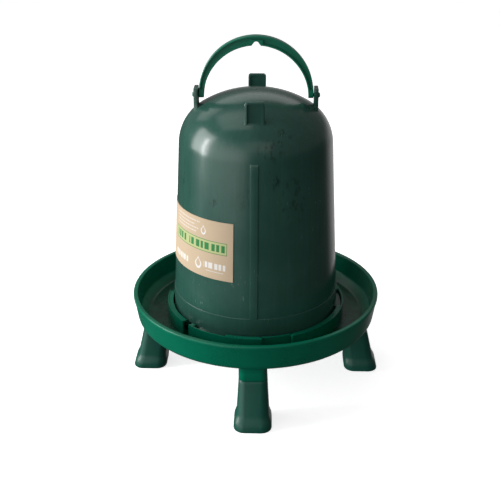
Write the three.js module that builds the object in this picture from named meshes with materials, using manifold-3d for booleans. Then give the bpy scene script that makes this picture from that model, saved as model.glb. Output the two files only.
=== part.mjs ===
// Poultry waterer fount: a domed reservoir that stands upside down over a round trough on four push-fit legs,
// closed by a three-tab bayonet and carried by a swinging bail handle.
// Millimetres, +Z up, -Y is the front. The origin is on the axis, on the floor under the feet.
import * as THREE from 'three';
import { mergeVertices } from 'three/addons/utils/BufferGeometryUtils.js';
import Module from 'manifold-3d';

// ---- driving dimensions -------------------------------------------------------------------------

const GAP = 0.3; // air between two pieces that touch in use

// tray
const TRAY_RIM_R = 170;
const TRAY_DEPTH = 35.4; // rim top down to the trough floor
const TRAY_RIM_WIDTH = 6;
const TRAY_RIM_DROP = 4.5;
const TRAY_WALL = 2.6;
const TRAY_WALL_DRAFT = 6; // how far the outer wall leans in from rim to floor
const TRAY_CORNER = 8; // outer corner radius under the wall
const TRAY_LEDGE_WIDTH = 15; // wall's foot to the flat floor
const TRAY_LEDGE_H = 9;

// bayonet collar on the trough floor
const COLLAR_HEIGHT = 19.4; // floor to the top of its wall
const COLLAR_WALL = 2.4;
const COLLAR_ROOF = 3.2; // thickness of the inward roof
const COLLAR_BEAD = 0.5; // how far the wall stands above the roof
const COLLAR_LIP_GAP = 2.6; // reservoir's foot to the roof's inner edge
const BAYONETS = 3;
const BAYONET_PHASE = 90; // azimuth of one tab, degrees from the front towards +X
const ENTRY_ANGLE = 24; // open arc a tab drops through
const LOCK_ANGLE = 23; // short roof a tab turns under
const NECK_ANGLE = 19; // arc where the wall steps in to the roof's inner edge
const STOP_ANGLE = 1.2; // rib that ends the tab's turn
const SLOT_AZIMUTH = -48; // narrow slot in the collar beside the outlet
const SLOT_ANGLE = 6;
const REST_PAD_H = 4; // pads the reservoir's rim rests on
const REST_PAD_ANGLE = 7;

// reservoir
const RESERVOIR_FOOT_R = 113;
const RESERVOIR_HEIGHT = 310.4; // foot to crown
const RESERVOIR_WALL = 2.6;
const WALL_TILT = 3.22; // degrees the wall leans in
const SHOULDER_R = 59; // radius of the arc between wall and crown
const CROWN_R = 140; // radius of the shallow crown
const BAND_HEIGHT = 38.6; // plain band round the foot
const BAND_STEP = 0.9;
const BAND_FLARE = 0.1; // how much wider the foot is than the band's top, less its step
const TAB_ANGLE = 20;
const TAB_REACH = 7; // beyond the reservoir's foot
const TAB_THICKNESS = 4.5;
const TAB_HEADROOM = 1.2; // under the collar roof
const SPINE_WIDTH = 10;
const SPINE_HEIGHT = 1.1;
const SPINE_LENGTH = 205; // upwards from the band
const OUTLET_WIDTH = 9;
const OUTLET_HEIGHT = 12;

// lugs on the dome, which are its feet when it is turned over for filling
const LUG_INSET = 39; // from the reservoir's foot radius to a lug's inner face
const LUG_HEIGHT = 23.9; // above the dome at its inner face
const LUG_WIDTH = 24;
const LUG_DEPTH = 5.2;
const LUG_FLANGE = 2;
const LUG_OUTER_POCKET = 2.6;
const LUG_INNER_POCKET = 1.2;
const LUG_CORNER = 3.5;
const LUG_POCKET_STEP = 2.5; // solid height left above the dome under a pocket

// handle
const PIVOT_DROP = 10; // lug's top down to the pivot
const HANDLE_SIDE_GAP = 1; // handle to lug
const HANDLE_LIMB = 6.4; // radial thickness at the pivot
const HANDLE_OUTER_RISE = 2; // centre of the outer arc above the pivot
const HANDLE_INNER_SINK = 3.8; // centre of the inner arc below the pivot
const HANDLE_WIDTH = 12;
const HANDLE_FLANGE = 2;
const HANDLE_WEB = 8.4;
const HANDLE_END_DROP = 4; // below the pivot
const NOTCH_MOUTH = 11.6;
const NOTCH_DEPTH = 5;
const NOTCH_TOP_R = 3.8;
const PIN_R = 2.4;
const PIN_CLEARANCE = 0.35; // radial, pin shaft in lug hole
const PIN_HEAD_FLARE = 0.9; // head radius beyond the shaft's
const PIN_HEAD_PROUD = 2.2; // beyond the lug's outer face

// legs and the sockets under the tray
const LEG_HEIGHT = 86; // floor up to the tray's underside
const LEG_COUNT = 4;
const LEG_WALL = 2.4;
const LEG_CLEARANCE = 0.3; // leg plug to socket wall, each side
const LEG_LEAN = 15.9; // how far the shank's outer face leans out by the time it reaches the floor
const LEG_FOOT_WIDTH = 44.4;
const LEG_FOOT_LENGTH = 42;
const LEG_LIP_HEIGHT = 18.5;
const LEG_LIP_PROUD = 2.6;
const SOCKET_INSET = 7; // tray wall's foot to the socket's outer face
const SOCKET_WIDTH = 36.4;
const SOCKET_DEPTH = 34;
const SOCKET_WALL = 2.2;
const SOCKET_LENGTH = 19.6;
const SOCKET_CORNER = 4;

// paper label on the reservoir
const LABEL_RIGHT = -14; // azimuth of its right edge, degrees
const LABEL_ANGLE = 86;
const LABEL_LIFT = 49; // bottom edge above the band
const LABEL_HEIGHT = 78;
const LABEL_THICKNESS = 0.4;

// facets
const TRAY_SEGMENTS = 80;
const RESERVOIR_SEGMENTS = 64;

// ---- derived sizes ------------------------------------------------------------------------------

const radians = (degrees) => (degrees * Math.PI) / 180;

const TRAY_BASE_Z = LEG_HEIGHT;
const FLOOR_Z = TRAY_BASE_Z + TRAY_WALL;
const TRAY_RIM_Z = FLOOR_Z + TRAY_DEPTH;
const WALL_FOOT_R = TRAY_RIM_R - TRAY_WALL_DRAFT;
const ROOF_TOP_Z = FLOOR_Z + COLLAR_HEIGHT;
const ROOF_INNER_R = RESERVOIR_FOOT_R + COLLAR_LIP_GAP;
const TAB_OUTER_R = RESERVOIR_FOOT_R + TAB_REACH;
const COLLAR_INNER_R = TAB_OUTER_R + 2 * GAP;
const COLLAR_OUTER_R = COLLAR_INNER_R + COLLAR_WALL;
const TAB_TOP_Z = ROOF_TOP_Z - COLLAR_ROOF - TAB_HEADROOM;

const FOOT_Z = FLOOR_Z + REST_PAD_H + GAP;
const BAND_Z = FOOT_Z + BAND_HEIGHT;
const BAND_R = RESERVOIR_FOOT_R - BAND_STEP - BAND_FLARE;
const DOME_TOP_Z = FOOT_Z + RESERVOIR_HEIGHT;
const TILT = radians(WALL_TILT);

// The shoulder arc touches the crown's sphere inside and the leaning wall: its centre is CROWN_R - SHOULDER_R
// from the sphere's centre and SHOULDER_R from the wall's line, which gives a quadratic for its height.
const crownCentreZ = DOME_TOP_Z - CROWN_R;
const wallOffset = BAND_R - SHOULDER_R / Math.cos(TILT);
const shoulder = (() => {
  const slope = Math.tan(TILT);
  const drop = crownCentreZ - BAND_Z;
  const a = 1 + slope ** 2;
  const b = -2 * (wallOffset * slope + drop);
  const c = wallOffset ** 2 + drop ** 2 - (CROWN_R - SHOULDER_R) ** 2;
  const rise = (-b + Math.sqrt(b ** 2 - 4 * a * c)) / (2 * a);
  return { r: wallOffset - rise * slope, z: BAND_Z + rise };
})();
const CROWN_ANGLE = Math.atan2(shoulder.r, shoulder.z - crownCentreZ);
const WALL_TOP_Z = shoulder.z + SHOULDER_R * Math.sin(TILT);

/** Height of the dome's outer surface at a radius inside the shoulder's widest point. */
function domeHeight(r) {
  if (r < CROWN_R * Math.sin(CROWN_ANGLE)) return crownCentreZ + Math.sqrt(CROWN_R ** 2 - r ** 2);
  return shoulder.z + Math.sqrt(Math.max(0, SHOULDER_R ** 2 - (r - shoulder.r) ** 2));
}

/** Radius of the straight wall at a height above the band. */
const wallRadius = (z) => BAND_R - (z - BAND_Z) * Math.tan(TILT);

const LUG_INNER_R = RESERVOIR_FOOT_R - LUG_INSET;
const LUG_OUTER_R = LUG_INNER_R + LUG_DEPTH;
const LUG_TOP_Z = domeHeight(LUG_INNER_R) + LUG_HEIGHT;
const LUG_BASE_Z = domeHeight(LUG_OUTER_R + LUG_FLANGE) - 2 * RESERVOIR_WALL;

const PIVOT_Z = LUG_TOP_Z - PIVOT_DROP;
const HANDLE_OUTER_R = LUG_INNER_R - HANDLE_SIDE_GAP;
const HANDLE_INNER_R = HANDLE_OUTER_R - HANDLE_LIMB + 0.1;
const HANDLE_END_R = HANDLE_WIDTH / 2;
const NOTCH_Z = PIVOT_Z - HANDLE_INNER_SINK + HANDLE_INNER_R;

const SOCKET_OUTER_R = WALL_FOOT_R - SOCKET_INSET;
const SOCKET_MOUTH_Z = TRAY_BASE_Z - SOCKET_LENGTH;
const LABEL_BOTTOM_Z = BAND_Z + LABEL_LIFT;

// ---- materials ----------------------------------------------------------------------------------

const reservoirPlastic = new THREE.MeshStandardMaterial({ color: 0x35504a, roughness: 0.42, metalness: 0 });
const trayPlastic = new THREE.MeshStandardMaterial({ color: 0x0b5f46, roughness: 0.35, metalness: 0 });
const legPlastic = new THREE.MeshStandardMaterial({ color: 0x15473b, roughness: 0.45, metalness: 0 });
const kraftPaper = new THREE.MeshStandardMaterial({ color: 0xcdbea9, roughness: 0.8, metalness: 0 });

// ---- solids -------------------------------------------------------------------------------------

const wasm = await Module();
wasm.setup();

/** Turns a closed geometry, placed by an optional matrix, into a manifold solid. */
function solid(geometry, matrix) {
  const bare = geometry.clone();
  if (matrix) bare.applyMatrix4(matrix);
  bare.deleteAttribute('normal');
  bare.deleteAttribute('uv');
  const welded = mergeVertices(bare, 1e-4);
  const vertProperties = new Float32Array(welded.attributes.position.array);
  const triVerts = new Uint32Array(welded.index.array);
  return new wasm.Manifold(new wasm.Mesh({ numProp: 3, vertProperties, triVerts }));
}

/** Turns a manifold solid back into a flat-shaded geometry. */
function geometryOf(manifold) {
  const mesh = manifold.getMesh();
  const geometry = new THREE.BufferGeometry();
  geometry.setAttribute('position', new THREE.BufferAttribute(new Float32Array(mesh.vertProperties), 3));
  geometry.setIndex(new THREE.BufferAttribute(new Uint32Array(mesh.triVerts), 1));
  geometry.computeVertexNormals();
  return geometry;
}

const union = (parts) => parts.reduce((sum, part) => sum.add(part));

/** A solid of revolution about +Z from [r, z] points going anticlockwise in the r-z plane. */
function revolve(points, segments) {
  const profile = points.map(([r, z]) => new THREE.Vector2(r, z));
  const geometry = new THREE.LatheGeometry(profile, segments);
  return solid(geometry, new THREE.Matrix4().makeRotationX(Math.PI / 2));
}

/** Extrudes an outline in X-Y upwards from z to z + height. */
function prism(shape, z, height, curveSegments = 8) {
  const geometry = new THREE.ExtrudeGeometry(shape, { depth: height, bevelEnabled: false, curveSegments });
  return solid(geometry, new THREE.Matrix4().makeTranslation(0, 0, z));
}

/** The arc of points at radius r from azimuth a to azimuth b, both in degrees from -Y towards +X. */
function arcPoints(r, a, b, step) {
  const count = Math.max(1, Math.round(Math.abs(b - a) / step));
  return Array.from({ length: count + 1 }, (_, i) => {
    const t = radians(a + ((b - a) * i) / count);
    return new THREE.Vector2(r * Math.sin(t), -r * Math.cos(t));
  });
}

/** A block bounded by two radii, two azimuths and two heights. */
function sector(r0, r1, a, b, z0, z1, step = 360 / TRAY_SEGMENTS) {
  const outline = [...arcPoints(r1, a, b, step), ...arcPoints(r0, b, a, step)];
  return prism(new THREE.Shape(outline), z0, z1 - z0);
}

/** A rectangle with rounded corners, centred on the origin. */
function roundedRectangle(width, length, corner) {
  const x = width / 2 - corner;
  const y = length / 2 - corner;
  const shape = new THREE.Shape();
  shape.absarc(x, y, corner, 0, Math.PI / 2, false);
  shape.absarc(-x, y, corner, Math.PI / 2, Math.PI, false);
  shape.absarc(-x, -y, corner, Math.PI, 1.5 * Math.PI, false);
  shape.absarc(x, -y, corner, 1.5 * Math.PI, 2 * Math.PI, false);
  return shape;
}

const degrees = (angle) => (angle * 180) / Math.PI;

/** Turns a solid about +Z so that what faced the front faces the given azimuth. */
const atAzimuth = (part, azimuth) => part.rotate([0, 0, azimuth]);

// ---- tray ---------------------------------------------------------------------------------------

/** Dish with a rolled rim, a leaning wall, a sloped ledge at its foot and a flat floor. */
function dish() {
  const wallTop = TRAY_RIM_R - 0.8;
  const corner = arcProfile(WALL_FOOT_R - TRAY_CORNER, TRAY_BASE_Z + TRAY_CORNER, TRAY_CORNER, -90, 0, 4);
  const rim = TRAY_RIM_DROP / 2;
  const outside = [
    [0, TRAY_BASE_Z],
    ...corner,
    [wallTop, TRAY_RIM_Z - TRAY_RIM_DROP],
    [TRAY_RIM_R, TRAY_RIM_Z - TRAY_RIM_DROP + 0.6],
    [TRAY_RIM_R, TRAY_RIM_Z - rim],
    [TRAY_RIM_R - 1, TRAY_RIM_Z - 0.6],
    [TRAY_RIM_R - rim, TRAY_RIM_Z],
  ];
  const inside = [
    [TRAY_RIM_R - TRAY_RIM_WIDTH + 1.5, TRAY_RIM_Z - 0.3],
    [TRAY_RIM_R - TRAY_RIM_WIDTH, TRAY_RIM_Z - 1.8],
    [WALL_FOOT_R - TRAY_WALL - 0.6, FLOOR_Z + TRAY_LEDGE_H],
    [WALL_FOOT_R - TRAY_LEDGE_WIDTH, FLOOR_Z],
    [0, FLOOR_Z],
  ];
  return revolve([...outside, ...inside], TRAY_SEGMENTS);
}

/** Points of a circular arc in the r-z plane, angles in degrees from +r towards +z. */
function arcProfile(r, z, radius, from, to, count) {
  return Array.from({ length: count + 1 }, (_, i) => {
    const t = radians(from + ((to - from) * i) / count);
    return [r + radius * Math.cos(t), z + radius * Math.sin(t)];
  });
}

/** A pie slice from azimuth a to azimuth b, reaching well past the collar on both sides. */
const slice = (a, b, z0, z1) => sector(ROOF_INNER_R - 6, COLLAR_OUTER_R + 6, a, b, z0, z1, 10);

/** A closed ring of rectangular section. */
const ring = (r0, r1, z0, z1) => revolve([[r0, z0], [r1, z0], [r1, z1], [r0, z1], [r0, z0]], TRAY_SEGMENTS);

/** What is cut from one third of the collar: the roof over the entry, and the outside of the neck. */
function collarCuts(entry) {
  const entryStart = entry - ENTRY_ANGLE / 2;
  const entryEnd = entry + ENTRY_ANGLE / 2;
  const lockEnd = entryEnd + LOCK_ANGLE;
  return {
    entry: slice(entryStart, entryEnd, FLOOR_Z + 1, ROOF_TOP_Z + 1),
    neck: slice(lockEnd, lockEnd + NECK_ANGLE, FLOOR_Z, ROOF_TOP_Z + 1),
  };
}

/** The neck's wall, at the roof's inner edge, lapped into the roofs on both sides. */
function neck(entry) {
  const from = entry + ENTRY_ANGLE / 2 + LOCK_ANGLE - 1;
  const outer = ROOF_INNER_R + COLLAR_WALL;
  return sector(ROOF_INNER_R, outer, from, from + NECK_ANGLE + 2, TRAY_BASE_Z + 1, ROOF_TOP_Z - COLLAR_BEAD);
}

/** The rib at the end of a short roof that stops a tab, buried in the wall and the roof. */
function stopRib(entry) {
  const lockEnd = entry + ENTRY_ANGLE / 2 + LOCK_ANGLE;
  const outer = COLLAR_INNER_R + COLLAR_WALL / 2;
  const from = lockEnd - STOP_ANGLE - 0.4;
  const top = ROOF_TOP_Z - COLLAR_ROOF / 2;
  return sector(ROOF_INNER_R + 0.5, outer, from, from + STOP_ANGLE, TRAY_BASE_Z + 1, top);
}

/** One of the pads the reservoir's rim stands on. */
function restPad(entry) {
  const middle = entry + 180 / BAYONETS;
  const from = middle - REST_PAD_ANGLE / 2;
  const inner = RESERVOIR_FOOT_R - 2 * RESERVOIR_WALL;
  const outer = ROOF_INNER_R - 0.5;
  return sector(inner, outer, from, from + REST_PAD_ANGLE, TRAY_BASE_Z + 1, FLOOR_Z + REST_PAD_H);
}

/** The upright ring on the trough floor with its inward roof, cut into thirds, and its ribs and pads. */
function collar() {
  const entries = Array.from({ length: BAYONETS }, (_, i) => BAYONET_PHASE + (i * 360) / BAYONETS);
  const cuts = entries.map(collarCuts);
  const slotFrom = SLOT_AZIMUTH - SLOT_ANGLE / 2;
  const slot = slice(slotFrom, slotFrom + SLOT_ANGLE, FLOOR_Z, ROOF_TOP_Z + 1);
  const gaps = union([...cuts.map((cut) => cut.neck), slot]);
  const roofTop = ROOF_TOP_Z - COLLAR_BEAD;
  const wall = ring(COLLAR_INNER_R, COLLAR_OUTER_R, FLOOR_Z - TRAY_WALL / 2, ROOF_TOP_Z);
  const roof = ring(ROOF_INNER_R, COLLAR_INNER_R + COLLAR_WALL / 2, ROOF_TOP_Z - COLLAR_ROOF, roofTop);
  const roofs = roof.subtract(union(cuts.map((cut) => cut.entry)));
  const additions = [neck, stopRib, restPad].flatMap((make) => entries.map(make));
  return union([wall, roofs]).subtract(gaps).add(union(additions));
}

/** One leg socket at the front: a sleeve under the tray, open downwards. */
function socket() {
  const top = TRAY_BASE_Z + TRAY_WALL / 2;
  const outer = roundedRectangle(SOCKET_WIDTH, SOCKET_DEPTH, SOCKET_CORNER);
  const bore = roundedRectangle(
    SOCKET_WIDTH - 2 * SOCKET_WALL, SOCKET_DEPTH - 2 * SOCKET_WALL, SOCKET_CORNER - SOCKET_WALL / 2,
  );
  const cut = prism(bore, SOCKET_MOUTH_Z - 1, SOCKET_LENGTH + 1, 4);
  const sleeve = prism(outer, SOCKET_MOUTH_Z, top - SOCKET_MOUTH_Z, 4).subtract(cut);
  return sleeve.translate([0, SOCKET_DEPTH / 2 - SOCKET_OUTER_R, 0]);
}

function tray() {
  const sleeves = Array.from({ length: LEG_COUNT }, (_, i) => atAzimuth(socket(), (360 / LEG_COUNT) * i));
  return union([dish(), collar(), ...sleeves]);
}

// ---- reservoir ----------------------------------------------------------------------------------

/** The wall's top, the shoulder and the crown at a distance inside the outer surface, ending on the axis. */
function domeProfile(inset) {
  const joint = 90 - degrees(CROWN_ANGLE);
  const corner = arcProfile(shoulder.r, shoulder.z, SHOULDER_R - inset, WALL_TILT, joint, 8);
  const crown = arcProfile(0, crownCentreZ, CROWN_R - inset, joint, 90, 4);
  return [...corner, ...crown.slice(1, -1), [0, DOME_TOP_Z - inset]];
}

/** The whole outer form, from the foot up its band and leaning wall to the crown. */
function outerForm() {
  const profile = [
    [0, FOOT_Z],
    [RESERVOIR_FOOT_R - 0.6, FOOT_Z],
    [RESERVOIR_FOOT_R, FOOT_Z + 0.6],
    [BAND_R + BAND_STEP, BAND_Z - 0.4],
    [BAND_R, BAND_Z],
    ...domeProfile(0),
  ];
  return revolve(profile, RESERVOIR_SEGMENTS);
}

/** The space inside, one wall thickness in, open at the foot. */
function cavity() {
  const below = FOOT_Z - 1;
  const foot = RESERVOIR_FOOT_R - RESERVOIR_WALL;
  const bandTop = [BAND_R - RESERVOIR_WALL, BAND_Z];
  return revolve([[0, below], [foot, below], bandTop, ...domeProfile(RESERVOIR_WALL)], RESERVOIR_SEGMENTS);
}

/** A lug at the front: a plate with a deep pocket outside, a shallow one inside and rounded top corners. */
function lug() {
  const half = LUG_WIDTH / 2;
  const plate = solid(extrusion(lugOutline(half, LUG_BASE_Z, LUG_TOP_Z, LUG_CORNER), LUG_DEPTH), UPRIGHT);
  const open = half - LUG_FLANGE;
  const pocketBase = (r) => domeHeight(r) + LUG_POCKET_STEP;
  const pocketTop = LUG_TOP_Z - LUG_FLANGE;
  const pocket = (r, depth) => {
    const outline = lugOutline(open, pocketBase(r), pocketTop, LUG_CORNER / 2);
    return solid(extrusion(outline, depth), UPRIGHT);
  };
  const placed = plate.translate([0, -LUG_INNER_R, 0]);
  const outside = pocket(LUG_OUTER_R, LUG_OUTER_POCKET + 1).translate([0, LUG_OUTER_POCKET - LUG_OUTER_R, 0]);
  const inside = pocket(LUG_INNER_R, LUG_INNER_POCKET + 1).translate([0, 1 - LUG_INNER_R, 0]);
  return placed.subtract(outside).subtract(inside);
}

/** Outline of a lug or its pocket in X-Y: square at the bottom, rounded at the top. */
function lugOutline(half, bottom, top, corner) {
  const shape = new THREE.Shape();
  shape.moveTo(-half, bottom);
  shape.lineTo(half, bottom);
  shape.absarc(half - corner, top - corner, corner, 0, Math.PI / 2, false);
  shape.absarc(corner - half, top - corner, corner, Math.PI / 2, Math.PI, false);
  return shape;
}

function extrusion(shape, depth, curveSegments = 4) {
  return new THREE.ExtrudeGeometry(shape, { depth, bevelEnabled: false, curveSegments });
}

/** Stands an X-Y outline up in the Y-Z plane, extruded along +X. */
const ALONG_X = new THREE.Matrix4().makeBasis(
  new THREE.Vector3(0, 1, 0), new THREE.Vector3(0, 0, 1), new THREE.Vector3(1, 0, 0),
);

/** Stands an X-Y outline up in the X-Z plane, extruded towards the front. */
const UPRIGHT = new THREE.Matrix4().makeRotationX(Math.PI / 2);

/** A round bar along +X from x0 to x1 at the pivot's height. */
function pivotBar(radius, x0, x1) {
  const bar = new THREE.CylinderGeometry(radius, radius, x1 - x0, 20);
  const place = new THREE.Matrix4().makeTranslation((x0 + x1) / 2, 0, PIVOT_Z);
  return solid(bar, place.multiply(new THREE.Matrix4().makeRotationZ(Math.PI / 2)));
}

/** A raised strip up the wall at the front, following its lean and dying into the shoulder. */
function spine() {
  const top = BAND_Z + SPINE_LENGTH;
  const wallTop = Math.min(top, WALL_TOP_Z);
  const shape = new THREE.Shape();
  shape.moveTo(-BAND_R - SPINE_HEIGHT, BAND_Z - 0.2);
  shape.lineTo(-wallRadius(wallTop) - SPINE_HEIGHT, wallTop);
  shape.lineTo(-wallRadius(top) + RESERVOIR_WALL / 4, top);
  shape.lineTo(-wallRadius(top) + RESERVOIR_WALL, top);
  shape.lineTo(-BAND_R + RESERVOIR_WALL / 2, BAND_Z - 0.2);
  return solid(extrusion(shape, SPINE_WIDTH), ALONG_X).translate([-SPINE_WIDTH / 2, 0, 0]);
}

function tabs() {
  return Array.from({ length: BAYONETS }, (_, i) => {
    const from = BAYONET_PHASE + (360 / BAYONETS) * i - TAB_ANGLE / 2;
    const inner = RESERVOIR_FOOT_R - RESERVOIR_WALL / 2;
    return sector(inner, TAB_OUTER_R, from, from + TAB_ANGLE, TAB_TOP_Z - TAB_THICKNESS, TAB_TOP_Z);
  });
}

/** The arched hole in the foot that lets water out beside the collar's slot. */
function outlet() {
  const shape = lugOutline(OUTLET_WIDTH / 2, FOOT_Z - 1, FOOT_Z + OUTLET_HEIGHT, OUTLET_WIDTH / 2 - 0.1);
  const cut = solid(extrusion(shape, 4 * RESERVOIR_WALL), UPRIGHT);
  return atAzimuth(cut.translate([0, 3 * RESERVOIR_WALL - RESERVOIR_FOOT_R, 0]), SLOT_AZIMUTH);
}

function reservoir() {
  const lugs = [0, 90, 180, 270].map((azimuth) => atAzimuth(lug(), azimuth));
  const spines = [spine(), atAzimuth(spine(), 180)];
  const body = union([outerForm(), ...lugs, ...spines, ...tabs()]);
  const hole = pivotBar(PIN_R + PIN_CLEARANCE, LUG_INNER_R - 1, LUG_OUTER_R + 1);
  const holes = [hole, atAzimuth(hole, 180)];
  return body.subtract(union([cavity(), outlet(), ...holes]));
}

// ---- handle -------------------------------------------------------------------------------------

/** The crescent between two arcs, pulled in by an inset on both sides, down to a drop below the pivot. */
function crescent(inset, drop) {
  const outerR = HANDLE_OUTER_R - inset;
  const innerR = HANDLE_INNER_R + inset;
  const outerZ = PIVOT_Z + HANDLE_OUTER_RISE;
  const innerZ = PIVOT_Z - HANDLE_INNER_SINK;
  const low = PIVOT_Z - drop;
  const outerStart = Math.asin(Math.max(-1, (low - outerZ) / outerR));
  const innerStart = Math.asin((low - innerZ) / innerR);
  const shape = new THREE.Shape();
  shape.absarc(0, outerZ, outerR, outerStart, Math.PI - outerStart, false);
  shape.absarc(0, innerZ, innerR, Math.PI - innerStart, innerStart, true);
  return shape;
}

/** The notch in the crown's underside that a hook sits in: a round top and splayed sides. */
function hookNotch() {
  const half = NOTCH_MOUTH / 2;
  const shape = new THREE.Shape();
  shape.moveTo(-half - 2, NOTCH_Z - 3);
  shape.lineTo(half + 2, NOTCH_Z - 3);
  shape.lineTo(half, NOTCH_Z - 0.3);
  shape.absarc(0, NOTCH_Z + NOTCH_DEPTH - NOTCH_TOP_R, NOTCH_TOP_R, Math.PI / 4, 0.75 * Math.PI, false);
  shape.lineTo(-half, NOTCH_Z - 0.3);
  return shape;
}

/** A snap pin at the +X end: a shaft through the lug and a cone head outside it. */
function pin() {
  const root = HANDLE_OUTER_R - 1.5;
  const head = LUG_OUTER_R + GAP;
  const tip = head + PIN_HEAD_PROUD;
  const rim = PIN_R + PIN_HEAD_FLARE;
  const profile = [[0, root], [PIN_R, root], [PIN_R, head], [rim, head + 0.3], [rim - 0.7, tip], [0, tip]];
  return revolve(profile, 20).rotate([0, 90, 0]).translate([0, 0, PIVOT_Z]);
}

function handle() {
  const flat = (shape, depth, segments) => solid(extrusion(shape, depth, segments), UPRIGHT);
  const half = HANDLE_WIDTH / 2;
  const bow = flat(crescent(0, HANDLE_END_DROP), HANDLE_WIDTH, 36).translate([0, half, 0]);
  const channel = flat(crescent(HANDLE_FLANGE, -HANDLE_END_R - 1), HANDLE_WIDTH, 36);
  const recess = channel.translate([0, half - HANDLE_WEB, 0]);
  const blockWidth = NOTCH_MOUTH + 2 * HANDLE_FLANGE;
  const blockHeight = 2 * (NOTCH_DEPTH + HANDLE_FLANGE);
  const block = solid(
    new THREE.BoxGeometry(blockWidth, 2 * HANDLE_WIDTH, blockHeight),
    new THREE.Matrix4().makeTranslation(0, 0, NOTCH_Z),
  );
  const notch = flat(hookNotch(), HANDLE_WIDTH + 2, 4).translate([0, half + 1, 0]);
  const bows = bow.subtract(recess.subtract(block)).subtract(notch).intersect(endRounding());
  return union([bows, pin(), pin().rotate([0, 0, 180])]);
}

/** A tall slab along X whose lower edge is a half oval about the pivot axis. */
function endRounding() {
  const shape = new THREE.Shape();
  const top = HANDLE_OUTER_R + HANDLE_END_R + 10;
  shape.moveTo(HANDLE_END_R, top);
  shape.lineTo(-HANDLE_END_R, top);
  shape.absellipse(0, 0, HANDLE_END_R, HANDLE_END_DROP, Math.PI, 2 * Math.PI, false);
  const length = 4 * HANDLE_OUTER_R;
  return solid(extrusion(shape, length, 10), ALONG_X).translate([-length / 2, 0, PIVOT_Z]);
}

// ---- legs ---------------------------------------------------------------------------------------

/** How far along the shank, 0 at the socket's mouth to 1 on the floor. */
const shankShare = (z) => Math.max(0, 1 - z / SOCKET_MOUTH_Z);

/** The leg's rounded plan outline under the socket's mouth, set in by an inset. */
function legOutline(inset) {
  const corner = Math.max(0.8, SOCKET_CORNER - inset / 2);
  return roundedRectangle(SOCKET_WIDTH - 2 * inset, SOCKET_DEPTH - 2 * inset, corner);
}

/** An upright block of the leg's plan shape. */
function plug(inset, z0, z1) {
  return prism(legOutline(inset), z0, z1 - z0, 3).translate([0, SOCKET_DEPTH / 2 - SOCKET_OUTER_R, 0]);
}

/** A block of the leg's plan shape that widens and leans outwards towards the floor. */
function shank(inset, z0, z1, proud = 0) {
  const width = SOCKET_WIDTH - 2 * inset;
  const length = SOCKET_DEPTH - 2 * inset;
  const geometry = extrusion(legOutline(inset), z1 - z0, 3);
  geometry.translate(0, 0, z0);
  const place = geometry.attributes.position;
  const topY = SOCKET_DEPTH / 2 - SOCKET_OUTER_R;
  const footY = LEG_FOOT_LENGTH / 2 - SOCKET_OUTER_R - LEG_LEAN;
  for (let i = 0; i < place.count; i += 1) {
    const share = shankShare(place.getZ(i));
    const wide = width + share * (LEG_FOOT_WIDTH - 2 * inset - width) + 2 * proud;
    const long = length + share * (LEG_FOOT_LENGTH - 2 * inset - length) + 2 * proud;
    place.setX(i, (place.getX(i) * wide) / width);
    place.setY(i, (place.getY(i) * long) / length + topY + share * (footY - topY));
  }
  return solid(geometry);
}

/** A hollow leg at the front: plug in the socket, leaning shank, and a proud lip round the foot. */
function leg() {
  const top = TRAY_BASE_Z - GAP;
  const shoulderZ = SOCKET_MOUTH_Z - GAP;
  const plugInset = SOCKET_WALL + LEG_CLEARANCE;
  const outside = union([
    plug(plugInset, shoulderZ - LEG_WALL, top),
    shank(0, 0, shoulderZ),
    shank(0, 0, LEG_LIP_HEIGHT, LEG_LIP_PROUD),
  ]);
  const core = plug(plugInset + LEG_WALL, shoulderZ - 2 * LEG_WALL, top - LEG_WALL);
  const hollow = core.add(shank(LEG_WALL, -1, shoulderZ - LEG_WALL));
  return outside.subtract(hollow);
}

// ---- label --------------------------------------------------------------------------------------

/** A sheet of paper bent round the wall. */
function label() {
  const top = LABEL_BOTTOM_Z + LABEL_HEIGHT;
  const near = [LABEL_BOTTOM_Z, top].map((z) => [wallRadius(z) + GAP, z]);
  const far = [top, LABEL_BOTTOM_Z].map((z) => [wallRadius(z) + GAP + LABEL_THICKNESS, z]);
  const sleeve = revolve([...near, ...far, near[0]].reverse(), RESERVOIR_SEGMENTS);
  const left = LABEL_RIGHT - LABEL_ANGLE;
  const window = sector(RESERVOIR_FOOT_R / 2, 2 * RESERVOIR_FOOT_R, left, LABEL_RIGHT, 0, DOME_TOP_Z);
  return sleeve.intersect(window);
}

// ---- assembly -----------------------------------------------------------------------------------

const fount = new THREE.Group();

/** Adds one named piece to the assembly. */
function place(name, part, material, azimuth = 0) {
  const mesh = new THREE.Mesh(geometryOf(part), material);
  mesh.name = name;
  mesh.rotation.z = radians(azimuth);
  fount.add(mesh);
}

place('tray', tray(), trayPlastic);
place('reservoir', reservoir(), reservoirPlastic);
place('handle', handle(), trayPlastic);
['leg_front', 'leg_right', 'leg_back', 'leg_left'].forEach((name, i) => {
  place(name, leg(), legPlastic, (360 / LEG_COUNT) * i);
});
place('paper_label', label(), kraftPaper);

export default fount;
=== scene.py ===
import logging
from dataclasses import dataclass, field
from enum import Enum
from typing import Any, Sequence

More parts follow.
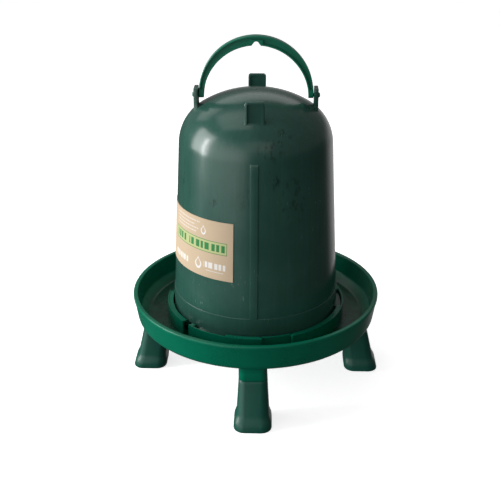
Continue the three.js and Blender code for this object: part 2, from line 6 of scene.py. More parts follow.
import bmesh
import bpy
import numpy as np
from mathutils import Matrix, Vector


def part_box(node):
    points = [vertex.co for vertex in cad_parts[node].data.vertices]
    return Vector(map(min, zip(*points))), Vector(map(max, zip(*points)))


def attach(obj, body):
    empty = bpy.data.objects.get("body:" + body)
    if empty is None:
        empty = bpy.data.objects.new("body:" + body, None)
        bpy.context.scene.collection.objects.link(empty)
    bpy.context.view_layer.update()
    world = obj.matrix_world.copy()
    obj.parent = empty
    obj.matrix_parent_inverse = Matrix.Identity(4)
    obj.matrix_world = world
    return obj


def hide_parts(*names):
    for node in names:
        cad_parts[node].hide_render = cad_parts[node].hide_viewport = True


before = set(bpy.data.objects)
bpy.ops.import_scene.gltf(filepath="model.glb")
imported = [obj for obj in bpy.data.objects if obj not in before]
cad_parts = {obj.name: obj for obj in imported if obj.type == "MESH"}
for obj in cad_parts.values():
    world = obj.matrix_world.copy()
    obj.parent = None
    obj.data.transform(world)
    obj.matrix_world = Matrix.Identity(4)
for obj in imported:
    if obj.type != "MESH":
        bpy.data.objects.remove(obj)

logging.basicConfig(level=logging.INFO, format="%(message)s")
log = logging.getLogger("waterer")

MM = 0.001
# display colours of a rubbed patch and of the painted shade on the tray's low floor, which stands in for
# the shadow and the dark reflection that fall there
RUBBED = (14, 22, 19)
PAINTED_SHADE_COLOUR = (0, 44, 26)
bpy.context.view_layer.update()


class Body(Enum):
    """The rigid bodies that the pieces ride on."""

    TROUGH = "trough"
    FOUNT = "fount"
    BAIL = "bail"


class Slot(Enum):
    """The record's material slots."""

    TRAY = "tray_plastic"
    RESERVOIR = "reservoir_plastic"
    HANDLE = "handle_plastic"
    LEG = "leg_plastic"
    LABEL = "kraft_label"


def added(name: str, data: Any) -> bpy.types.Object:
    """Makes an object and links it to the scene.

    Args:
        name: name of the object.
        data: its mesh, light or camera.

    Returns:
        The object.
    """
    made = bpy.data.objects.new(name, data)
    bpy.context.scene.collection.objects.link(made)
    return made


def extent(node: str) -> tuple[np.ndarray, np.ndarray]:
    """Lowest and highest corner of a CAD node, in millimetres."""
    low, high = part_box(node)
    return np.array(low) / MM, np.array(high) / MM


# ---- curves and grids --------------------------------------------------------------------------


def arc(centre: tuple[float, float], radius: float, start: float, end: float, count: int) -> np.ndarray:
    """Points centre + radius * (cos t, sin t) for count angles t evenly from start to end, in degrees."""
    t = np.radians(np.linspace(start, end, count))
    return np.column_stack([centre[0] + radius * np.cos(t), centre[1] + radius * np.sin(t)])


def soften(points: Sequence, reach: Sequence[float], closed: bool = False, steps: int = 5) -> np.ndarray:
    """Rounds the corners of an outline.

    Each corner P becomes the parabola (1-t)^2 A + 2t(1-t) P + t^2 B, where A and B lie the corner's
    reach away from P along the sides that meet there.

    Args:
        points: the corners.
        reach: one length for each corner, 0 to keep it sharp.
        closed: whether the last corner joins the first.
        steps: points on each parabola.

    Returns:
        The rounded outline, with repeated points where a corner is sharp.
    """
    corner = np.asarray(points, float)
    before, after = np.roll(corner, 1, axis=0), np.roll(corner, -1, axis=0)
    if not closed:
        before[0] = corner[0]
        after[-1] = corner[-1]
    length = np.asarray(reach, float)[:, None]

    def towards(other: np.ndarray) -> np.ndarray:
        """The points one reach along the sides that lead to other."""
        side = other - corner
        return corner + side / np.maximum(np.linalg.norm(side, axis=1, keepdims=True), 1e-9) * length

    t = np.linspace(0, 1, steps)[None, :, None]
    a, b, p = towards(before)[:, None], towards(after)[:, None], corner[:, None]
    return ((1 - t) ** 2 * a + 2 * t * (1 - t) * p + t**2 * b).reshape(-1, corner.shape[1])


def turned(profile: np.ndarray, azimuth: np.ndarray) -> np.ndarray:
    """Carries a profile of (r, z) points round the axis: x = r sin a, y = -r cos a, z = z.

    Args:
        profile: (n, 2) points, or (m, n, 2) for a profile that changes with the azimuth.
        azimuth: m angles in degrees, 0 at the front, growing towards +X.

    Returns:
        An (m, n, 3) grid of points.
    """
    a = np.radians(np.asarray(azimuth, float))[:, None]
    shaped = np.broadcast_to(profile, (a.shape[0], *profile.shape[-2:]))
    r, z = shaped[..., 0], shaped[..., 1]
    return np.stack([r * np.sin(a), -r * np.cos(a), z], axis=-1)


def spun(points: np.ndarray, azimuth: float) -> np.ndarray:
    """Turns points about the axis, so that what faced the front faces the given azimuth."""
    a = np.radians(azimuth)
    turn = np.array([[np.cos(a), np.sin(a), 0], [-np.sin(a), np.cos(a), 0], [0, 0, 1]])
    return points @ turn


def rounded_rectangle(width: float, length: float, corner: float, steps: int = 7) -> np.ndarray:
    """A rectangle with quarter-circle corners, anticlockwise from the middle of its +X side.

    Args:
        width: size along X.
        length: size along Y.
        corner: radius of the corners.
        steps: points in each corner.

    Returns:
        (4 * steps, 2) points.
    """
    x, y = width / 2 - corner, length / 2 - corner
    centres = [(x, y), (-x, y), (-x, -y), (x, -y)]
    quarters = [arc(c, corner, 90 * i, 90 * i + 90, steps) for i, c in enumerate(centres)]
    return np.concatenate(quarters)


@dataclass
class Surface:
    """Vertices in millimetres and faces, gathered from grids of points."""

    points: list[np.ndarray] = field(default_factory=list)
    faces: list[list[int]] = field(default_factory=list)
    count: int = 0

    def grid(self, points: np.ndarray, wrap: bool = False, caps: bool = False) -> "Surface":
        """Adds the quads between neighbouring points of a grid.

        Args:
            points: (m, n, 3) points.
            wrap: whether each row closes on itself.
            caps: whether the first and last rows are filled.

        Returns:
            This surface.
        """
        rows, columns = points.shape[:2]
        index = self.count + np.arange(rows * columns).reshape(rows, columns)
        if caps:
            self.faces += [index[0].tolist(), index[-1].tolist()]
        if wrap:
            index = np.concatenate([index, index[:, :1]], axis=1)
        quads = np.stack([index[:-1, :-1], index[:-1, 1:], index[1:, 1:], index[1:, :-1]], axis=-1)
        self.faces += quads.reshape(-1, 4).tolist()
        self.points.append(points.reshape(-1, 3))
        self.count += rows * columns
        return self

    def build(self, name: str, crease: float = 32) -> bpy.types.Object:
        """Makes the mesh: doubles merged, normals outward, smooth but for edges sharper than crease.

        Args:
            name: name of the piece.
            crease: angle in degrees past which an edge stays sharp.

        Returns:
            The new object, at the origin.
        """
        mesh = bpy.data.meshes.new(name)
        mesh.from_pydata((np.concatenate(self.points) * MM).tolist(), [], self.faces)
        work = bmesh.new()
        work.from_mesh(mesh)
        bmesh.ops.remove_doubles(work, verts=work.verts, dist=2e-6)
        bmesh.ops.dissolve_degenerate(work, edges=work.edges, dist=1e-6)
        bmesh.ops.recalc_face_normals(work, faces=work.faces)
        work.to_mesh(mesh)
        work.free()
        mesh.shade_smooth()
        mesh.set_sharp_from_angle(angle=np.radians(crease))
        return added(name, mesh)


def bevel(piece: bpy.types.Object, width: float, segments: int = 3, limit: float = 35) -> None:
    """Rounds a piece's sharp edges with a Bevel modifier.

    Args:
        piece: the piece.
        width: width of the rounding, in millimetres.
        segments: faces across it.
        limit: only edges sharper than this many degrees are rounded.
    """
    rounding = piece.modifiers.new("edge_rounding", "BEVEL")
    rounding.width = width * MM
    rounding.segments = segments
    rounding.limit_method = "ANGLE"
    rounding.angle_limit = np.radians(limit)
    rounding.harden_normals = True


def fit(piece: bpy.types.Object, body: Body, slot: Slot, material: bpy.types.Material, *nodes: str) -> None:
    """Dresses a piece, seats it on its body and reports it.

    Args:
        piece: the finished piece.
        body: the body it moves with.
        slot: the record's slot that its finish belongs to; not used.
        material: its material.
        nodes: CAD nodes that it stands for.
    """
    piece.data.materials.clear()
    piece.data.materials.append(material)
    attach(piece, body.value)
    if nodes:
        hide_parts(*nodes)
    log.info("%s: %d faces on %s", piece.name, len(piece.data.polygons), body.value)


# ---- shader graph ------------------------------------------------------------------------------


def linear(colour: Sequence[float]) -> tuple[float, float, float, float]:
    """Linear RGBA of a display colour given from 0 to 255."""
    share = np.asarray(colour, float) / 255
    lit = np.where(share <= 0.04045, share / 12.92, ((share + 0.055) / 1.055) ** 2.4)
    return (*lit.tolist(), 1.0)


class Sock:
    """A value socket of a shader graph; arithmetic on it adds Math nodes."""

    def __init__(self, graph: "Graph", socket: bpy.types.NodeSocket) -> None:
        """Keeps the graph and the socket."""
        self.graph = graph
        self.socket = socket

    def __add__(self, other: Any) -> "Sock":
        """This plus other."""
        return self.graph.math("ADD", self, other)

    def __sub__(self, other: Any) -> "Sock":
        """This less other."""
        return self.graph.math("SUBTRACT", self, other)

    def __rsub__(self, other: Any) -> "Sock":
        """Other less this."""
        return self.graph.math("SUBTRACT", other, self)

    def __mul__(self, other: Any) -> "Sock":
        """This times other."""
        return self.graph.math("MULTIPLY", self, other)

    def __truediv__(self, other: Any) -> "Sock":
        """This divided by other."""
        return self.graph.math("DIVIDE", self, other)

    __radd__ = __add__
    __rmul__ = __mul__


class Graph:
    """One material's node tree."""

    def __init__(self, name: str) -> None:
        """Starts an empty material with a Principled shader on its output.

        Args:
            name: name of the material.
        """
        self.material = bpy.data.materials.new(name)
        self.material.use_nodes = True
        self.tree = self.material.node_tree
        self.tree.nodes.clear()
        self.shader = self.node("ShaderNodeBsdfPrincipled")
        output = self.node("ShaderNodeOutputMaterial")
        self.tree.links.new(self.shader.outputs["BSDF"], output.inputs["Surface"])

    @classmethod
    def on(cls, tree: bpy.types.NodeTree) -> "Graph":
        """A graph on an existing tree, emptied.

        Args:
            tree: the node tree.

        Returns:
            The graph, which has no material of its own.
        """
        graph = cls.__new__(cls)
        graph.tree = tree
        tree.nodes.clear()
        return graph

    def node(self, kind: str, settings: dict | None = None, inputs: dict | None = None) -> bpy.types.Node:
        """Adds a node.

        Args:
            kind: Blender's node type.
            settings: properties, set first.
            inputs: a value or a Sock for each named or numbered socket.

        Returns:
            The node.
        """
        made = self.tree.nodes.new(kind)
        for key, value in (settings or {}).items():
            setattr(made, key, value)
        for key, value in (inputs or {}).items():
            self.feed(made.inputs[key], value)
        return made

    def feed(self, socket: bpy.types.NodeSocket, value: Any) -> None:
        """Links a Sock to a socket, or sets the socket's own value."""
        if isinstance(value, Sock):
            self.tree.links.new(value.socket, socket)
        else:
            socket.default_value = value

    def math(self, operation: str, *values: Any) -> Sock:
        """A Math node on up to three values."""
        made = self.node("ShaderNodeMath", {"operation": operation}, dict(enumerate(values)))
        return Sock(self, made.outputs[0])

    def place(self) -> tuple[Sock, Sock, Sock, Sock]:
        """Object coordinates in millimetres: the vector, then x, y and z."""
        coordinates = Sock(self, self.node("ShaderNodeTexCoord").outputs["Object"])
        inputs = {0: coordinates, "Scale": 1 / MM}
        scaled = self.node("ShaderNodeVectorMath", {"operation": "SCALE"}, inputs)
        vector = Sock(self, scaled.outputs[0])
        return vector, *self.parts(vector)

    def parts(self, vector: Sock) -> tuple[Sock, ...]:
        """The x, y and z of a vector."""
        apart = self.node("ShaderNodeSeparateXYZ", inputs={0: vector})
        return tuple(Sock(self, output) for output in apart.outputs)

    def stretched(self, vector: Sock, scale: Sequence[float]) -> Sock:
        """The vector with each part multiplied by its own number."""
        made = self.node("ShaderNodeVectorMath", {"operation": "MULTIPLY"}, {0: vector, 1: tuple(scale)})
        return Sock(self, made.outputs[0])

    def noise(self, vector: Sock, size: float, detail: float = 3, rough: float = 0.55) -> Sock:
        """Smooth noise from 0 to 1, its features of a size in the vector's unit with finer layers."""
        inputs = {"Vector": vector, "Scale": 1 / size, "Detail": detail, "Roughness": rough}
        return Sock(self, self.node("ShaderNodeTexNoise", inputs=inputs).outputs[0])

    def step(self, value: Any, low: float, high: float) -> Sock:
        """Rises smoothly from 0 at low to 1 at high."""
        settings = {"interpolation_type": "SMOOTHSTEP"}
        inputs = {"Value": value, "From Min": low, "From Max": high}
        return Sock(self, self.node("ShaderNodeMapRange", settings, inputs).outputs[0])

    def band(self, value: Sock, low: float, high: float, edge: float) -> Sock:
        """1 between low and high, falling to 0 over edge on both sides."""
        return self.step(value, low - edge, low + edge) * (1 - self.step(value, high - edge, high + edge))

    def mix(self, factor: Any, a: Any, b: Any) -> Sock:
        """Mixes two colours, each a Sock or a display colour; a Mix node's colours are sockets 6 and 7."""
        first, second = (colour if isinstance(colour, Sock) else linear(colour) for colour in (a, b))
        inputs = {0: factor, 6: first, 7: second}
        return Sock(self, self.node("ShaderNodeMix", {"data_type": "RGBA"}, inputs).outputs[2])

    def bump(self, height: Sock, strength: float, distance: float, under: Sock | None = None) -> Sock:
        """A Bump node.

        Args:
            height: the relief.
            strength: from 0 to 1.
            distance: height of a full step, in millimetres.
            under: a normal that the relief is laid on.

        Returns:
            The new normal.
        """
        inputs = {"Height": height, "Strength": strength, "Distance": distance * MM}
        if under is not None:
            inputs["Normal"] = under
        return Sock(self, self.node("ShaderNodeBump", inputs=inputs).outputs[0])

    def finish(self, **sockets: Any) -> bpy.types.Material:
        """Feeds the shader's sockets, named with _ for a space, and returns the material."""
        for key, value in sockets.items():
            self.feed(self.shader.inputs[key.replace("_", " ")], value)
        return self.material


@dataclass(frozen=True)
class Smudge:
    """A rubbed patch on a round wall."""

    azimuth: float
    height: float
    width: float
    tall: float
    strength: float


@dataclass(frozen=True)
class MouldedPlastic:
    """Moulded plastic with flow marks, a fine grain, scuffs, rubbed patches and painted shade on upward
    faces low down.
    """

    name: str
    colour: tuple[int, int, int]
    pale: tuple[int, int, int]
    roughness: float = 0.4
    gloss_spread: float = 0.1
    mottle: float = 0.35
    flow: float = 0.3
    grain: float = 0.12
    scuffs: float = 0.3
    painted_shade: float = 0.0
    painted_shade_top: float = 0.0
    scuff_colour: tuple[int, int, int] = (150, 190, 175)
    specular: float = 0.5
    smudges: tuple[Smudge, ...] = ()
    wall_radius: float = 105.0

    def patches(self, graph: Graph, place: tuple[Sock, Sock, Sock, Sock]) -> Sock:
        """Sum of the rubbed patches, each a soft oval broken up by noise.

        Args:
            graph: the material's graph.
            place: the vector and its parts.

        Returns:
            A mask from 0 to 1.
        """
        vector, x, y, z = place
        azimuth = graph.math("ARCTAN2", x, y * -1) * (180 / np.pi)
        streaks = graph.noise(graph.stretched(vector, (1, 1, 0.45)), 6, 5, 0.7)
        worn = graph.step(streaks, 0.5, 0.62)
        total: Any = 0.0
        for patch in self.smudges:
            across = (azimuth - patch.azimuth) * (np.radians(self.wall_radius) / patch.width)
            up = (z - patch.height) / patch.tall
            inside = 1 - graph.step(across * across + up * up, 0.2, 1.0)
            total = inside * patch.strength + total
        return graph.math("MINIMUM", total * worn, 1.0)

    def build(self) -> bpy.types.Material:
        """Makes the material.

        Returns:
            The material.
        """
        graph = Graph(self.name)
        place = graph.place()
        vector, _, _, z = place
        cloud = graph.noise(vector, 45, 3)
        flow = graph.noise(graph.stretched(vector, (1, 1, 0.04)), 5, 4, 0.6)
        fleck = graph.noise(vector, 1.6, 4, 0.65)
        colour = graph.mix(graph.step(cloud, 0.3, 0.75) * self.mottle, self.colour, self.pale)
        colour = graph.mix(graph.step(flow, 0.45, 0.8) * self.flow, colour, self.pale)
        scratch = graph.noise(graph.stretched(vector, (1, 1, 0.18)), 2.4, 2, 0.5)
        scuffed = graph.step(scratch, 0.66, 0.72) * graph.step(cloud, 0.52, 0.68) * self.scuffs
        colour = graph.mix(scuffed, colour, self.scuff_colour)
        if self.smudges:
            colour = graph.mix(self.patches(graph, place) * 0.75, colour, RUBBED)
        # painted shade: upward faces below the given height are darkened towards a dark green, standing in
        # for the shadow and the dark reflection on the tray's floor
        if self.painted_shade:
            facing = Sock(graph, graph.node("ShaderNodeNewGeometry").outputs["Normal"])
            up = graph.parts(facing)[2]
            low = 1 - graph.step(z, self.painted_shade_top - 3, self.painted_shade_top + 3)
            patchy = 0.7 + graph.step(graph.noise(vector, 14, 5, 0.7), 0.35, 0.6) * 0.3
            colour = graph.mix(graph.step(up, 0.6, 1.0) * low * patchy * self.painted_shade, colour, PAINTED_SHADE_COLOUR)
        roughness = self.roughness + (cloud - 0.5) * self.gloss_spread
        roughness = roughness + (fleck - 0.5) * 0.08 + scuffed * 0.25
        waves = graph.bump(graph.noise(vector, 30, 2), 0.25, 0.5)
        skin = graph.bump(fleck + flow * 0.8, self.grain, 0.12, waves)
        return graph.finish(
            Base_Color=colour, Roughness=roughness, Normal=skin, Specular_IOR_Level=self.specular,
        )


@dataclass(frozen=True)
class Print:
    """Printed marks on a sheet, u running left from its right edge and v up from its bottom edge."""

    graph: Graph
    u: Sock
    v: Sock

    def block(self, bounds: Sequence[float], edge: float = 0.25) -> Sock:
        """Mask of a rectangle, bounds being its least and greatest u, then v."""
        return self.graph.band(self.u, *bounds[:2], edge) * self.graph.band(self.v, *bounds[2:], edge)

    def outline(self, bounds: Sequence[float], line: float) -> Sock:
        """Mask of a rectangle's outline of the given line width."""
        inner = (bounds[0] + line, bounds[1] - line, bounds[2] + line, bounds[3] - line)
        return self.block(bounds) * (1 - self.block(inner))

    def strokes(self, bounds: Sequence[float], pitch: float, fill: float) -> Sock:
        """Mask of upright bars of unequal width inside a rectangle, standing in for a line of print."""
        wander = self.graph.math("SINE", self.u * (2.3 / pitch)) * 0.16
        phase = self.graph.math("FRACT", self.u / pitch + wander)
        return self.graph.band(phase, 0.08, fill, 0.05) * self.block(bounds)

    def drop(self, centre_u: float, centre_v: float, size: float) -> Sock:
        """Mask of a water drop's outline: a circle whose width shrinks with height, less a smaller one."""
        up = (self.v - centre_v) / (size * 1.45)
        across = (self.u - centre_u) / size
        width = self.graph.math("MAXIMUM", 1 - self.graph.step(up, -0.2, 1.0) * 0.85, 0.05)
        narrowed = across / width
        return self.graph.band(narrowed * narrowed + up * up, 0.42, 1.0, 0.06)


@dataclass(frozen=True)
class KraftPaper:
    """Brown recycled paper with printed bars, a box and drops, placed from its right and bottom edges."""

    name: str = "kraft_paper"
    paper: tuple[int, int, int] = (192, 170, 142)
    fibre: tuple[int, int, int] = (168, 140, 106)
    pale: tuple[int, int, int] = (206, 188, 162)
    box: tuple[int, int, int] = (176, 190, 128)
    ink: tuple[int, int, int] = (44, 126, 66)
    white: tuple[int, int, int] = (226, 224, 222)

    def build(self, right: float, radius: float, bottom: float) -> bpy.types.Material:
        """Makes the material.

        Args:
            right: azimuth of the sheet's right edge in degrees.
            radius: radius of the wall it is on, in millimetres.
            bottom: height of its bottom edge.

        Returns:
            The material.
        """
        graph = Graph(self.name)
        vector, x, y, z = graph.place()
        u = (np.radians(right) - graph.math("ARCTAN2", x, y * -1)) * radius
        v = z - bottom
        speck = graph.noise(graph.stretched(vector, (1, 1, 2.2)), 1.1, 3, 0.7)
        colour = graph.mix(graph.step(speck, 0.55, 0.75) * 0.55, self.paper, self.fibre)
        colour = graph.mix(graph.noise(vector, 26, 2) * 0.3, colour, self.pale)
        worn = 1 - graph.step(graph.noise(vector, 1.6, 4, 0.7), 0.62, 0.8) * 0.7
        sheet = Print(graph, u, v)
        frame_box = (8.0, 108.0, 34.5, 51.0)
        colour = graph.mix(sheet.block(frame_box) * 0.8, colour, self.box)
        green = sheet.outline(frame_box, 0.7)
        green = green + sheet.strokes((11, 70, 38, 47.5), 8.4, 0.74)
        green = green + sheet.strokes((78, 103, 38, 47.5), 8.4, 0.74)
        colour = graph.mix(graph.math("MINIMUM", green, 1.0) * worn, colour, self.ink)
        white = sheet.strokes((10, 42, 13.5, 21.5), 7.0, 0.78)
        white = white + sheet.block((12.6, 38.4, 9.6, 10.3))
        white = white + sheet.strokes((71, 108, 10, 18), 5.2, 0.7)
        white = white + sheet.drop(51.5, 17.0, 5.8)
        white = white + sheet.drop(43.5, 63.0, 4.4)
        for low, start in ((57.0, 56.0), (61.5, 52.0), (66.0, 60.0), (71.0, 50.0)):
            white = white + sheet.strokes((start, 104, low, low + 1.5), 3.1, 0.8) * 0.7
        colour = graph.mix(graph.math("MINIMUM", white, 1.0) * worn * 0.92, colour, self.white)
        skin = graph.bump(speck, 0.35, 0.1)
        return graph.finish(Base_Color=colour, Roughness=0.78 + speck * 0.1, Normal=skin)


# ---- tray --------------------------------------------------------------------------------------


@dataclass
class Tray:
    """Round trough with a rolled rim, a bayonet collar on its floor and four sockets below."""

    rim_r: float = field(default_factory=lambda: float(extent("tray")[1][0]))
    rim_z: float = field(default_factory=lambda: float(extent("tray")[1][2]))
    mouth_z: float = field(default_factory=lambda: float(extent("tray")[0][2]))
    depth: float = 35.4
    wall: float = 2.6
    draft: float = 6.0
    rim_width: float = 6.0
    rim_drop: float = 4.5
    ledge_width: float = 15.0
    ledge_height: float = 9.0
    collar_inner: float = 120.6
    collar_outer: float = 123.0
    collar_height: float = 19.4
    roof_reach: float = 5.0
    roof_thickness: float = 3.2
    bead: float = 0.5
    entries: tuple[float, ...] = (-150.0, -30.0, 90.0)
    entry_half: float = 12.0
    lock: float = 23.0
    neck: float = 19.0
    slot_azimuth: float = -48.0
    slot_half: float = 3.0
    socket_width: float = 36.4
    socket_depth: float = 34.0
    socket_wall: float = 2.2
    socket_corner: float = 8.5
    socket_inset: float = 7.0
    socket_merge: float = 4.6
    merge_depth: float = 9.0

    @property
    def floor_z(self) -> float:
        """Height of the trough floor."""
        return self.rim_z - self.depth

    @property
    def base_z(self) -> float:
        """Height of the tray's underside."""
        return self.floor_z - self.wall

    @property
    def foot_r(self) -> float:
        """Outer radius at the foot of the wall."""
        return self.rim_r - self.draft

    @property
    def socket_outer_r(self) -> float:
        """Distance from the axis to a socket's outer face."""
        return self.foot_r - self.socket_inset

    def dish(self) -> bpy.types.Object:
        """The dish: its profile, softened at the corners, turned once round the axis.

        Returns:
            The piece.
        """
        rim_in = self.rim_r - self.rim_width
        corners = [
            (0, self.base_z), (self.foot_r, self.base_z), (self.rim_r - 0.8, self.rim_z - self.rim_drop),
            (self.rim_r, self.rim_z - self.rim_drop + 0.5), (self.rim_r, self.rim_z), (rim_in, self.rim_z),
            (rim_in - 0.4, self.rim_z - 1.8),
            (self.foot_r - self.wall - 0.6, self.floor_z + self.ledge_height),
            (self.foot_r - self.ledge_width, self.floor_z), (0, self.floor_z),
        ]
        profile = soften(corners, [0, 9, 0.3, 0.35, 2.0, 1.4, 0.5, 2.2, 2.5, 0], steps=8)
        return Surface().grid(turned(profile, np.linspace(0, 360, 241))).build("tray_dish", crease=50)

    def collar_section(self, reach: np.ndarray) -> np.ndarray:
        """The collar's section: an upright wall with an inward roof.

        Args:
            reach: how far the roof comes inwards at each azimuth.

        Returns:
            (m, 8, 2) points, one closed outline for each azimuth.
        """
        top = self.floor_z + self.collar_height
        low = self.floor_z - self.wall / 2
        inner, outer = self.collar_inner, self.collar_outer
        fixed = [
            (outer, low), (outer, top), (inner + 0.7, top), (inner + 0.2, top - self.bead),
            (inner, top - self.bead), (inner, top - self.roof_thickness),
            (inner, top - self.roof_thickness), (inner, low),
        ]
        section = np.broadcast_to(np.array(fixed), (len(reach), 8, 2)).copy()
        section[:, 4, 0] -= reach
        section[:, 5, 0] -= reach
        return section

    def collar_runs(self) -> list[tuple[float, float]]:
        """Azimuths between which the outer wall stands: from each neck to the next, less the slot."""
        spacing = 360 / len(self.entries)
        starts = [entry + self.entry_half + self.lock + self.neck for entry in self.entries]
        runs = [(a, a + spacing - self.neck) for a in starts]
        cut = (self.slot_azimuth - self.slot_half, self.slot_azimuth + self.slot_half)
        split = [[(a, cut[0]), (cut[1], b)] if a < self.slot_azimuth < b else [(a, b)] for a, b in runs]
        return [run for pair in split for run in pair]

    def collar(self) -> bpy.types.Object:
        """The collar's runs, whose roof is left out over the entries, with its necks, ribs and pads.

        Returns:
            The piece.
        """
        surface = Surface()
        edges = np.array([e + side * self.entry_half for e in self.entries for side in (-1, 1)])
        ticks = np.concatenate([edges - 0.04, edges + 0.04, edges + 359.96, edges + 360.04])
        for start, end in self.collar_runs():
            inside = ticks[(ticks > start) & (ticks < end)]
            azimuth = np.unique(np.concatenate([np.linspace(start, end, int((end - start) / 1.5)), inside]))
            offset = (azimuth[:, None] - np.array(self.entries) + 180) % 360 - 180
            roofed = np.abs(offset).min(axis=1) > self.entry_half
            section = self.collar_section(roofed * self.roof_reach)
            surface.grid(turned(section, azimuth), wrap=True, caps=True)
        for entry in self.entries:
            self.small_blocks(surface, entry)
        piece = surface.build("tray_collar")
        bevel(piece, 0.35)
        return piece

    def small_blocks(self, surface: Surface, entry: float) -> None:
        """Adds the stop rib and the neck after a short roof, and the pad the reservoir's rim stands on.

        Args:
            surface: the collar's surface.
            entry: azimuth of the entry.
        """
        top = self.floor_z + self.collar_height
        lip = self.collar_inner - self.roof_reach
        end = entry + self.entry_half + self.lock
        blocks = [
            (lip + 0.5, self.collar_inner + 1, top - 1.6, end - 1.6, 1.2),
            (lip, lip + self.collar_outer - self.collar_inner, top - self.bead, end - 1, self.neck + 2),
            (lip - 7.8, lip - 0.5, self.floor_z + 4, entry + 180 / len(self.entries) - 3.5, 7.0),
        ]
        for inner, outer, high, start, span in blocks:
            low = self.floor_z - 1.3
            box = np.array([(inner, low), (outer, low), (outer, high), (inner, high)])
            surface.grid(turned(box, np.linspace(start, start + span, 16)), wrap=True, caps=True)

    def socket(self, azimuth: float) -> np.ndarray:
        """Rings of one socket, from inside the tray's base down its outside and up its bore.

        Near the base the outer face is drawn out and up by socket_merge, to run into the tray's wall.

        Args:
            azimuth: where it stands.

        Returns:
            (m, n, 3) points.
        """
        top = self.base_z + self.wall / 2
        levels = [(top, -2.4, 1.0), (self.base_z - 0.6, -1.4, 0.8), (self.base_z - 2.4, -0.5, 0.5)]
        levels += [(self.base_z - 5, 0.0, 0.2), (self.base_z - 9, 0.0, 0.0)]
        levels += [(self.mouth_z + 0.6, 0.0, 0.0), (self.mouth_z, 0.5, 0.0)]
        levels += [(self.mouth_z, self.socket_wall - 0.4, 0.0), (self.mouth_z + 0.6, self.socket_wall, 0.0)]
        levels += [(top - 0.6, self.socket_wall, 0.0)]
        rings = []
        for z, inset, merge in levels:
            width, depth = self.socket_width - 2 * inset, self.socket_depth - 2 * inset
            corner = self.socket_corner - min(inset, self.socket_wall) * 1.3
            ring = rounded_rectangle(width, depth, corner)
            behind = (ring[:, 1] + depth / 2) / self.merge_depth
            drawn = self.socket_merge * merge * np.clip(1 - behind, 0, 1)
            ring[:, 1] -= drawn
            rings.append(np.column_stack([ring, z + drawn]))
        grid = np.array(rings) + [0, self.socket_depth / 2 - self.socket_outer_r, 0]
        return spun(grid, azimuth)

    def sockets(self) -> bpy.types.Object:
        """The four sockets."""
        surface = Surface()
        for azimuth in (0, 90, 180, 270):
            surface.grid(self.socket(azimuth), wrap=True, caps=True)
        return surface.build("tray_sockets", crease=40)

    def build(self) -> None:
        """Builds and dresses the tray's pieces."""
        # the tray's floor gets painted shade up to 5 mm above it, standing in for the shadow and the dark
        # reflection there
        plastic = MouldedPlastic(
            "green_tray_plastic", colour=(0, 104, 78), pale=(0, 118, 90), roughness=0.29, mottle=0.5,
            flow=0.1, grain=0.08, scuffs=0.2, painted_shade=0.85, painted_shade_top=self.floor_z + 5,
            scuff_colour=(60, 160, 130), specular=0.3,
        ).build()
        fit(self.dish(), Body.TROUGH, Slot.TRAY, plastic, "tray")
        fit(self.collar(), Body.TROUGH, Slot.TRAY, plastic)
        fit(self.sockets(), Body.TROUGH, Slot.TRAY, plastic)


# ---- legs --------------------------------------------------------------------------------------


@dataclass
class Leg:
    """One push-fit leg: a plug, a leaning hollow shank and a flange round the foot."""

    name: str
    azimuth: float
    tray: Tray
    clearance: float = 0.3
    foot_width: float = 44.4
    foot_length: float = 42.0
    lean: float = 15.9
    wall: float = 2.4
    lip_height: float = 18.5
    lip_proud: float = 2.6
    lip_flare: float = 11.0

    def ring(self, z: float, inset: float, proud: float) -> np.ndarray:
        """The leg's rounded outline at a height.

        Below the socket's mouth the width, the length and the centre move in straight lines from the
        socket's to the foot's.

        Args:
            z: height.
            inset: distance inside the outer surface.
            proud: distance outside it.

        Returns:
            (n, 3) points.
        """
        share = max(0.0, 1 - z / self.tray.mouth_z)
        width, length = self.tray.socket_width, self.tray.socket_depth
        grow = 2 * (proud - inset)
        wide = width + share * (self.foot_width - width) + grow
        long = length + share * (self.foot_length - length) + grow
        top_y = self.tray.socket_depth / 2 - self.tray.socket_outer_r
        foot_y = self.foot_length / 2 - self.tray.socket_outer_r - self.lean
        corner = max(1.0, self.tray.socket_corner + share * 4 + 0.6 * proud - 1.3 * inset)
        outline = rounded_rectangle(wide, long, corner, steps=9)
        centre = top_y + share * (foot_y - top_y)
        return np.column_stack([outline[:, 0], outline[:, 1] + centre, np.full(len(outline), z)])

    def build(self, plastic: bpy.types.Material) -> None:
        """Lofts the rings from the plug's top down the outside and up the hollow.

        Args:
            plastic: the leg's material.
        """
        top = self.tray.base_z - self.clearance
        mouth = self.tray.mouth_z
        lip = self.lip_height
        plug = self.tray.socket_wall + self.clearance
        shoulder = mouth - self.clearance
        outside = [(top, plug + 1.2, 0), (top - 0.4, plug + 0.4, 0), (top - 1.4, plug, 0)]
        outside += [(shoulder, plug, 0), (shoulder, 0.5, 0), (shoulder - 0.5, 0, 0)]
        outside += [(z, 0, 0) for z in np.linspace(shoulder - 4, lip + 3, 8)]
        for t in np.linspace(0, 1, 6):
            outside.append((lip + 1 - self.lip_flare * t, 0, self.lip_proud * (3 * t**2 - 2 * t**3)))
        outside += [(1.6, 0, self.lip_proud), (0.5, 0, self.lip_proud - 0.4), (0, 0, self.lip_proud - 1.4)]
        inside = [(0, self.wall - 0.5, 0), (0.6, self.wall, 0)]
        inside += [(z, self.wall, 0) for z in np.linspace(6, shoulder - self.wall, 7)]
        inside += [(z, plug + self.wall, 0) for z in (shoulder - self.wall, top - self.wall)]
        rings = np.array([self.ring(*level) for level in outside + inside])
        surface = Surface().grid(spun(rings, self.azimuth), wrap=True, caps=True)
        fit(surface.build(self.name + "_moulding", crease=40), Body.TROUGH, Slot.LEG, plastic, self.name)


# ---- reservoir ---------------------------------------------------------------------------------


